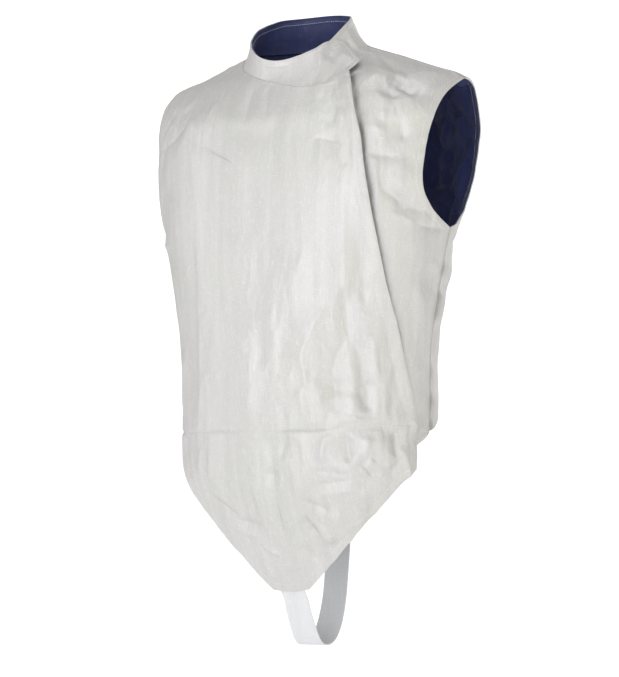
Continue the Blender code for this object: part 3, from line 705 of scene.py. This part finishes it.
def wall(obj, face, inside, thickness):
    """Gives a sheet its thickness behind its face, with a second cloth on the inside."""
    obj.data.materials.append(face)
    obj.data.materials.append(inside)
    select_only(obj)
    solid = obj.modifiers.new("wall", "SOLIDIFY")
    solid.thickness = thickness
    solid.offset = -1
    solid.material_offset = 1
    bpy.ops.object.modifier_apply(modifier="wall")
    bpy.ops.object.shade_smooth_by_angle(angle=SMOOTH_ANGLE)


# Topstitching: short straight stitches of sewing thread that dip into the cloth at both ends. A row
# keeps to its inset from the rim, and leaves out stitches that would span a break.
STITCH, STITCH_GAP = 0.0023, 0.0006
STITCH_BREAK = 0.006
SHORTEST_RUN, SHORTEST_ROW = 6, 4
WRONG_WAY, STRAY = 0.35, 0.6
SHOULDER_FROM, SHOULDER_OUT, SHOULDER_ROW = -0.07, 0.07, 0.009
THREAD = 0.00022
STITCH_LIFT, STITCH_SINK = 0.00018, 0.00022


def runs(mesh, node, free, gap=SEWN_GAP):
    """Stretches of the rim between corners that are free, or sewn if free is False."""
    points = places(mesh)
    found = []
    for ring in rim_loops(mesh):
        turned = corners(points, ring)
        start = ring.index(turned[0]) if turned else 0
        ring = ring[start:] + ring[:start + 1]
        wanted = sewn_at(points[ring], node, gap) != free
        run = []
        for at, good in zip(ring, wanted):
            if good:
                run.append(at)
            if run and (not good or (at in turned and len(run) > 1)):
                found.append(run)
                run = [at] if good else []
        found.append(run)
    return [run for run in found if len(run) > SHORTEST_RUN]


def shoulder_runs(obj, node):
    """The stretch of a panel's rim that is sewn along the top of the shoulder."""
    points = places(obj.data)
    found = []
    for run in runs(obj.data, node, False):
        middle = points[run].mean(0)
        if middle[2] > SHOULDER_FROM and abs(middle[0]) > SHOULDER_OUT:
            found.append(run)
    return found


def topstitch(obj, ways, inset, name, material):
    """Rows of stitches on a worked sheet, inset from the given stretches of its rim."""
    mesh = obj.data
    points = places(mesh)
    normals = facings(mesh)
    surface = BVHTree.FromPolygons([v.co for v in mesh.vertices], [p.vertices for p in mesh.polygons])
    curve = bpy.data.curves.new(name, "CURVE")
    curve.dimensions = "3D"
    curve.bevel_depth = THREAD
    curve.bevel_resolution = 0
    curve.use_fill_caps = True
    for way in ways:
        line = points[way]
        ahead = np.gradient(line, axis=0)
        ahead /= np.linalg.norm(ahead, axis=1)[:, None]
        inward = np.cross(normals[way], ahead)
        middle = len(way) // 2
        probe = line[middle] + inward[middle] * inset
        if surface.find_nearest(Vector(probe))[3] > inset * WRONG_WAY:
            inward = -inward
        path = []
        for point, step in zip(line, inward):
            place, normal, _, off = surface.find_nearest(Vector(point + step * inset))
            if off < inset * STRAY:
                path.append((place, normal))
        if len(path) < SHORTEST_ROW:
            continue
        spots = np.array([place for place, _ in path])
        lifts = np.array([normal for _, normal in path])
        reach = np.concatenate([[0], np.cumsum(np.linalg.norm(np.diff(spots, axis=0), axis=1))])
        count = int((reach[-1] - inset) / (STITCH + STITCH_GAP))
        for k in range(count):
            begin = inset / 2 + k * (STITCH + STITCH_GAP)
            after = min(np.searchsorted(reach, begin), len(reach) - 1)
            if reach[after] - reach[after - 1] > STITCH_BREAK:
                continue
            at = np.array([begin, begin + STITCH / 2, begin + STITCH])
            spot = np.stack([np.interp(at, reach, spots[:, axis]) for axis in range(3)], -1)
            lift = np.stack([np.interp(at, reach, lifts[:, axis]) for axis in range(3)], -1)
            spot += lift * np.array([[-STITCH_SINK], [STITCH_LIFT], [-STITCH_SINK]])
            stitch = curve.splines.new("POLY")
            stitch.points.add(2)
            for end, place in zip(stitch.points, spot):
                end.co = (*place, 1)
    thread = bpy.data.objects.new(name, curve)
    bpy.context.scene.collection.objects.link(thread)
    select_only(thread)
    bpy.ops.object.convert(target="MESH")
    thread = bpy.context.view_layer.objects.active
    thread.data.materials.clear()
    thread.data.materials.append(material)
    bpy.ops.object.shade_smooth()
    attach(thread, "root")


# Cloth's weave: a scale across and up the cut for each layer of threads, its share, and whether
# only its rare thick threads, the slubs, show. After it, the smallest folds of crumpled cloth.
WEAVE = (
    ((900, 90, 1), 0.13, False),
    ((150, 1000, 1), 0.13, False),
    ((64, 5, 1), 0.32, False),
    ((420, 16, 1), 0.12, False),
    ((130, 1050, 1), 0.32, True),
    ((1000, 100, 1), 0.38, True),
)
WEAVE_SHIFT_ACROSS, WEAVE_SHIFT_UP = 7, 3
SLUB_FROM, SLUB_TO = 0.63, 0.74
SMALL_FOLDS = ((44, 1.0), (96, 0.40))
SMALL_FOLDS_DRAWN = (1, 1, 0.6)
NOISE_MIDDLE = 0.5


def add(tree, kind, **values):
    """A new shader node, with its settings and the values of its inputs."""
    made = tree.nodes.new(kind)
    for key, value in values.items():
        if hasattr(made, key):
            setattr(made, key, value)
        else:
            made.inputs[key.replace("_", " ")].default_value = value
    return made


def weave_group():
    """Node group for the uneven threads of woven cloth, read from its cut in metres."""
    tree = bpy.data.node_groups.new("uneven threads", "ShaderNodeTree")
    tree.interface.new_socket("Cut", in_out="INPUT", socket_type="NodeSocketVector")
    for name in ("Shade", "Height"):
        tree.interface.new_socket(name, in_out="OUTPUT", socket_type="NodeSocketFloat")
    given = tree.nodes.new("NodeGroupInput")
    result = tree.nodes.new("NodeGroupOutput")
    total = None
    for scale, share, sparse in WEAVE:
        spread = add(tree, "ShaderNodeMapping", vector_type="POINT", Scale=scale)
        spread.inputs["Location"].default_value = (WEAVE_SHIFT_ACROSS * share, WEAVE_SHIFT_UP * share, 0)
        grain = add(tree, "ShaderNodeTexNoise", noise_dimensions="2D",
                    Scale=1.0, Detail=2.0, Roughness=0.55)
        tree.links.new(given.outputs["Cut"], spread.inputs["Vector"])
        tree.links.new(spread.outputs["Vector"], grain.inputs["Vector"])
        value = grain.outputs["Fac"]
        if sparse:
            slub = add(tree, "ShaderNodeMapRange")
            slub.inputs["From Min"].default_value = SLUB_FROM
            slub.inputs["From Max"].default_value = SLUB_TO
            tree.links.new(value, slub.inputs["Value"])
            value = slub.outputs["Result"]
        part = add(tree, "ShaderNodeMath", operation="MULTIPLY_ADD")
        part.inputs[1].default_value = share
        tree.links.new(value, part.inputs[0])
        if total:
            tree.links.new(total, part.inputs[2])
        else:
            part.inputs[2].default_value = 0.0
        total = part.outputs[0]
    tree.links.new(total, result.inputs["Shade"])
    tree.links.new(total, result.inputs["Height"])
    return tree


threads = weave_group()


def folds_group():
    """Node group for the smallest sharp folds of crumpled cloth, from the place on the vest."""
    tree = bpy.data.node_groups.new("small folds", "ShaderNodeTree")
    tree.interface.new_socket("Height", in_out="OUTPUT", socket_type="NodeSocketFloat")
    result = tree.nodes.new("NodeGroupOutput")
    where = tree.nodes.new("ShaderNodeTexCoord")
    drawn = add(tree, "ShaderNodeMapping", vector_type="POINT", Scale=SMALL_FOLDS_DRAWN)
    tree.links.new(where.outputs["Object"], drawn.inputs["Vector"])
    total = None
    for scale, share in SMALL_FOLDS:
        way = add(tree, "ShaderNodeTexNoise", Scale=scale, Detail=1.0, Roughness=0.4, Distortion=0.4)
        tree.links.new(drawn.outputs["Vector"], way.inputs["Vector"])
        off = add(tree, "ShaderNodeMath", operation="SUBTRACT")
        off.inputs[1].default_value = NOISE_MIDDLE
        tree.links.new(way.outputs["Fac"], off.inputs[0])
        ridge = add(tree, "ShaderNodeMath", operation="ABSOLUTE")
        tree.links.new(off.outputs[0], ridge.inputs[0])
        part = add(tree, "ShaderNodeMath", operation="MULTIPLY_ADD")
        part.inputs[1].default_value = -share
        tree.links.new(ridge.outputs[0], part.inputs[0])
        if total:
            tree.links.new(total, part.inputs[2])
        else:
            part.inputs[2].default_value = NOISE_MIDDLE
        total = part.outputs[0]
    tree.links.new(total, result.inputs["Height"])
    return tree


folds = folds_group()

# Cloth's finish: where among the thread shades the dark and light colours lie, how many clouds of
# tint a metre has and where they change, the colour of the painted shade, and how gloss varies.
SHADES_FROM, SHADES_TO = 0.20, 0.70
CLOUDS, CLOUDS_FROM, CLOUDS_TO = 7.0, 0.36, 0.66
PAINTED_SHADE_TINT = (0.34, 0.34, 0.31)
GLOSS_FROM, GLOSS_TO, GLOSS_CHANGE = 0.30, 0.70, 0.06

# A mix node's sockets for its two colours and for the mixed colour share names with others.
COLOUR_A, COLOUR_B, MIXED = 6, 7, 2


def cloth_material(name, ramp, metallic, roughness, relief, tint=None, sheen=0.0, papery=0.0):
    """Woven cloth: uneven threads from its cut. A tint adds clouds of colour and the painted shade."""
    material = bpy.data.materials.new(name)
    material.use_nodes = True
    tree = material.node_tree
    shader = tree.nodes["Principled BSDF"]
    shader.inputs["Metallic"].default_value = metallic
    shader.inputs["Sheen Weight"].default_value = sheen
    cut = add(tree, "ShaderNodeUVMap", uv_map="cut")
    weave = add(tree, "ShaderNodeGroup", node_tree=threads)
    tree.links.new(cut.outputs["UV"], weave.inputs["Cut"])
    shades = add(tree, "ShaderNodeValToRGB")
    shades.color_ramp.elements[0].position = SHADES_FROM
    shades.color_ramp.elements[1].position = SHADES_TO
    shades.color_ramp.elements[0].color = (*ramp[0], 1)
    shades.color_ramp.elements[1].color = (*ramp[1], 1)
    tree.links.new(weave.outputs["Shade"], shades.inputs["Fac"])
    colour = shades.outputs["Color"]
    if tint:
        where = add(tree, "ShaderNodeTexCoord")
        clouds = add(tree, "ShaderNodeTexNoise", Scale=CLOUDS, Detail=2.0, Roughness=0.5)
        tree.links.new(where.outputs["Object"], clouds.inputs["Vector"])
        tints = add(tree, "ShaderNodeValToRGB")
        tints.color_ramp.elements[0].position = CLOUDS_FROM
        tints.color_ramp.elements[1].position = CLOUDS_TO
        tints.color_ramp.elements[0].color = (*tint[0], 1)
        tints.color_ramp.elements[1].color = (*tint[1], 1)
        tree.links.new(clouds.outputs["Fac"], tints.inputs["Fac"])
        mixed = add(tree, "ShaderNodeMix", data_type="RGBA", blend_type="MULTIPLY")
        mixed.inputs["Factor"].default_value = 1.0
        tree.links.new(shades.outputs["Color"], mixed.inputs[COLOUR_A])
        tree.links.new(tints.outputs["Color"], mixed.inputs[COLOUR_B])
        # Painted shade: the colour is multiplied down by the shade painted on the sheet, for the seams,
        # the side puckers and under the flap.
        painted_dark = add(tree, "ShaderNodeAttribute", attribute_name="painted_shade")
        painted_shaded_colour = add(tree, "ShaderNodeMix", data_type="RGBA", blend_type="MULTIPLY")
        tree.links.new(painted_dark.outputs["Fac"], painted_shaded_colour.inputs["Factor"])
        tree.links.new(mixed.outputs[MIXED], painted_shaded_colour.inputs[COLOUR_A])
        painted_shaded_colour.inputs[COLOUR_B].default_value = (*PAINTED_SHADE_TINT, 1)
        colour = painted_shaded_colour.outputs[MIXED]
    tree.links.new(colour, shader.inputs["Base Color"])
    gloss = add(tree, "ShaderNodeMapRange")
    gloss.inputs["From Min"].default_value = GLOSS_FROM
    gloss.inputs["From Max"].default_value = GLOSS_TO
    gloss.inputs["To Min"].default_value = roughness + GLOSS_CHANGE
    gloss.inputs["To Max"].default_value = roughness - GLOSS_CHANGE
    tree.links.new(weave.outputs["Shade"], gloss.inputs["Value"])
    tree.links.new(gloss.outputs["Result"], shader.inputs["Roughness"])
    bump = add(tree, "ShaderNodeBump", Strength=1.0, Distance=relief)
    tree.links.new(weave.outputs["Height"], bump.inputs["Height"])
    normal = bump.outputs["Normal"]
    if papery:
        small = add(tree, "ShaderNodeGroup", node_tree=folds)
        amount = add(tree, "ShaderNodeAttribute", attribute_name="crumple")
        height = add(tree, "ShaderNodeMath", operation="MULTIPLY")
        tree.links.new(small.outputs["Height"], height.inputs[0])
        tree.links.new(amount.outputs["Fac"], height.inputs[1])
        folded = add(tree, "ShaderNodeBump", Strength=1.0, Distance=papery)
        tree.links.new(height.outputs[0], folded.inputs["Height"])
        tree.links.new(normal, folded.inputs["Normal"])
        normal = folded.outputs["Normal"]
    tree.links.new(normal, shader.inputs["Normal"])
    return material


LAME_SHADES = ((0.585, 0.583, 0.582), (0.72, 0.718, 0.716))
LAME_TINTS = ((0.965, 0.968, 0.950), (1.0, 0.985, 1.0))
NAVY_SHADES = ((0.014, 0.021, 0.090), (0.034, 0.047, 0.165))
THREAD_SHADES = ((0.72, 0.72, 0.72), (0.85, 0.85, 0.85))
lame = cloth_material("lame", LAME_SHADES, metallic=0.45, roughness=0.46, relief=0.00022,
                      tint=LAME_TINTS, papery=0.0021)
navy = cloth_material("navy_lining", NAVY_SHADES, metallic=0.0, roughness=0.48, relief=0.00012,
                      sheen=0.10)
lame_thread = cloth_material("lame_thread", THREAD_SHADES, metallic=0.0, roughness=0.6, relief=0.0)

front = skin("front_right", "front_outer", True, FINE)
hem_rows = runs(front.data, "front_right", True)
shoulder_rows = shoulder_runs(front, "front_right")
work(front, "front_right", FRONT_HEM)
topstitch(front, hem_rows, FRONT_HEM, "front_stitches", lame_thread)
topstitch(front, shoulder_rows, SHOULDER_ROW, "right_shoulder_stitches", lame_thread)
wall(front, lame, navy, CLOTH)
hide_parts("front_right")
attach(front, "root")

# Lobe: the pointed lower piece of the front, cut from the same lame and sewn to it at the waist. It
# runs down between the legs to a blunt tip, with a narrow turned and topstitched hem.
LOBE_HEM = 0.010
lobe = skin("front_lobe", "front_lobe_outer", True, FINE)
hem_rows = runs(lobe.data, "front_lobe", True)
work(lobe, "front_lobe", LOBE_HEM)
topstitch(lobe, hem_rows, LOBE_HEM, "lobe_stitches", lame_thread)
wall(lobe, lame, navy, CLOTH)
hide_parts("front_lobe")
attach(lobe, "root")

# Left front: a lame panel that carries the left armhole, and is sewn at the shoulder, neck and side.
# It runs on under the flap, where nothing shows of its edge. Its hem is turned and topstitched.
LEFT_HEM = 0.008
left = skin("front_left", "front_left_outer", True, FINE)
hem_rows = runs(left.data, "front_left", True)
shoulder_rows = shoulder_runs(left, "front_left")
work(left, "front_left", LEFT_HEM)
topstitch(left, hem_rows, LEFT_HEM, "left_stitches", lame_thread)
topstitch(left, shoulder_rows, SHOULDER_ROW, "left_shoulder_stitches", lame_thread)
wall(left, lame, navy, CLOTH)
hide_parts("front_left")
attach(left, "root")

# Back: one lame panel from side seam to side seam, sewn to both fronts and to the collar. It has
# both armholes' rear halves, and a straight turned hem with the strap's end inside it.
BACK_HEM = 0.009
back = skin("back", "back_outer", True, COARSE)
hem_rows = runs(back.data, "back", True)
work(back, "back", BACK_HEM)
topstitch(back, hem_rows, BACK_HEM, "back_stitches", lame_thread)
wall(back, lame, navy, CLOTH)
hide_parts("back")
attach(back, "root")

# Back lining: plain navy cloth on the inside of the back, seen through the neck and armholes. It is
# sewn in along the back's seams, hangs a little slack, and is topstitched along its free edges.
LINING = 0.0010
BACKED = 0.0045
LOOSE = 0.011
WHITE_SHADES = ((0.70, 0.70, 0.72), (0.82, 0.82, 0.84))
lining = skin("lining_back", "lining_back_cloth", False, COARSE)
hem_rows = runs(lining.data, "back", True, BACKED)
work(lining, "back", BACK_HEM, gap=BACKED, side=-1, slack=LOOSE)
white_thread = cloth_material("white_thread", WHITE_SHADES, metallic=0.0, roughness=0.6, relief=0.0)
topstitch(lining, hem_rows, BACK_HEM, "lining_stitches", white_thread)
wall(lining, navy, navy, LINING)
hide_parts("lining_back")
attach(lining, "root")

# Collar: a stand of lame all round the neck, sewn to it, from its covered left end to a tab that
# overlaps the left front. Its rim and the tab are turned in and topstitched.
COLLAR_HEM = 0.007
collar = skin("collar", "collar_outer", True, FINE)
hem_rows = runs(collar.data, "collar", True)
work(collar, "collar", COLLAR_HEM)
topstitch(collar, hem_rows, COLLAR_HEM, "collar_stitches", lame_thread)
wall(collar, lame, navy, CLOTH)
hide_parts("collar")
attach(collar, "root")

# Collar lining: a strip of the same navy cloth inside the stand. It is sewn in at the neck, and
# topstitched in white below the rim.
COLLAR_LOOSE = 0.001
collar_lining = skin("lining_collar", "lining_collar_cloth", False, FINE)
hem_rows = runs(collar_lining.data, "collar", True, BACKED)
work(collar_lining, "collar", COLLAR_HEM, gap=BACKED, side=-1, slack=COLLAR_LOOSE)
topstitch(collar_lining, hem_rows, COLLAR_HEM, "collar_lining_stitches", white_thread)
wall(collar_lining, navy, navy, LINING)
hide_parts("lining_collar")
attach(collar_lining, "root")

# Strap: flat white woven elastic, 32 mm wide, that passes between the legs. One end is sewn inside
# the lobe's tip and the other inside the back hem.
STRAP_CLOTH = 0.0014
ELASTIC_SHADES = ((0.66, 0.67, 0.70), (0.80, 0.81, 0.83))
elastic = cloth_material("white_elastic", ELASTIC_SHADES, metallic=0.0, roughness=0.7, relief=0.0003)
strap = skin("strap", "strap_elastic", True, COARSE)
wall(strap, elastic, elastic, STRAP_CLOTH)
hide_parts("strap")
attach(strap, "root")

# Studio: a plain white floor well below the vest, and large soft lights in front, at the sides,
# above and behind. Floor and sky look plain white to the camera, and light the vest less brightly.
FLOOR_LEVEL = -0.80
FLOOR_SIZE = 12
FLOOR_SHADE = (0.8, 0.8, 0.8, 1)
FLOOR_ROUGHNESS = 0.9
FLOOR_GLOW = 0.45
WHITE = (1, 1, 1, 1)
WHITE_SEEN = 1.2
SKY_SHADE = (1, 0.99, 0.965, 1)
SKY_GLOW = 0.46
AIM = (0, 0, -0.3)
bpy.ops.mesh.primitive_plane_add(size=FLOOR_SIZE, location=(0, 0, FLOOR_LEVEL))
floor = bpy.context.object
floor.name = "floor"
white = bpy.data.materials.new("white_floor")
white.use_nodes = True
paint = white.node_tree
paint.nodes["Principled BSDF"].inputs["Base Color"].default_value = FLOOR_SHADE
paint.nodes["Principled BSDF"].inputs["Roughness"].default_value = FLOOR_ROUGHNESS
paint.nodes["Principled BSDF"].inputs["Emission Color"].default_value = WHITE
paint.nodes["Principled BSDF"].inputs["Emission Strength"].default_value = FLOOR_GLOW
glow = add(paint, "ShaderNodeEmission", Color=WHITE, Strength=WHITE_SEEN)
straight = add(paint, "ShaderNodeLightPath")
either = add(paint, "ShaderNodeMixShader")
paint.links.new(straight.outputs["Is Camera Ray"], either.inputs["Fac"])
paint.links.new(paint.nodes["Principled BSDF"].outputs[0], either.inputs[1])
paint.links.new(glow.outputs[0], either.inputs[2])
paint.links.new(either.outputs[0], paint.nodes["Material Output"].inputs["Surface"])
floor.data.materials.append(white)

world = bpy.data.worlds.new("studio")
bpy.context.scene.world = world
world.use_nodes = True
sky = world.node_tree
plain = sky.nodes["Background"]
plain.inputs["Color"].default_value = SKY_SHADE
plain.inputs["Strength"].default_value = SKY_GLOW
seen = add(sky, "ShaderNodeBackground", Color=WHITE, Strength=WHITE_SEEN)
ray = add(sky, "ShaderNodeLightPath")
choose = add(sky, "ShaderNodeMixShader")
sky.links.new(ray.outputs["Is Camera Ray"], choose.inputs["Fac"])
sky.links.new(plain.outputs[0], choose.inputs[1])
sky.links.new(seen.outputs[0], choose.inputs[2])
sky.links.new(choose.outputs[0], sky.nodes["World Output"].inputs["Surface"])


def softbox(name, place, size, watts, colour=(1, 1, 1)):
    """A large square light that faces the middle of the vest."""
    light = bpy.data.lights.new(name, "AREA")
    light.color = colour
    light.shape = "SQUARE"
    light.size = size
    light.energy = watts
    obj = bpy.data.objects.new(name, light)
    bpy.context.scene.collection.objects.link(obj)
    obj.location = place
    aim = Vector(AIM) - Vector(place)
    obj.rotation_euler = aim.to_track_quat("-Z", "Y").to_euler()


softbox("key", place=(0.3, -2.6, 0.15), size=2.2, watts=25.5, colour=(0.985, 0.98, 1))
softbox("right_fill", place=(-2.3, -1.3, 0.3), size=1.8, watts=11, colour=(0.98, 1, 0.98))
softbox("left_fill", place=(2.4, -0.9, 0.1), size=1.8, watts=10, colour=(1, 0.985, 0.74))
softbox("top", place=(0.2, -1.1, 2.1), size=1.6, watts=11)
softbox("behind", place=(0.8, 2.3, 0.6), size=1.8, watts=12)
bpy.context.scene.view_settings.view_transform = "Standard"
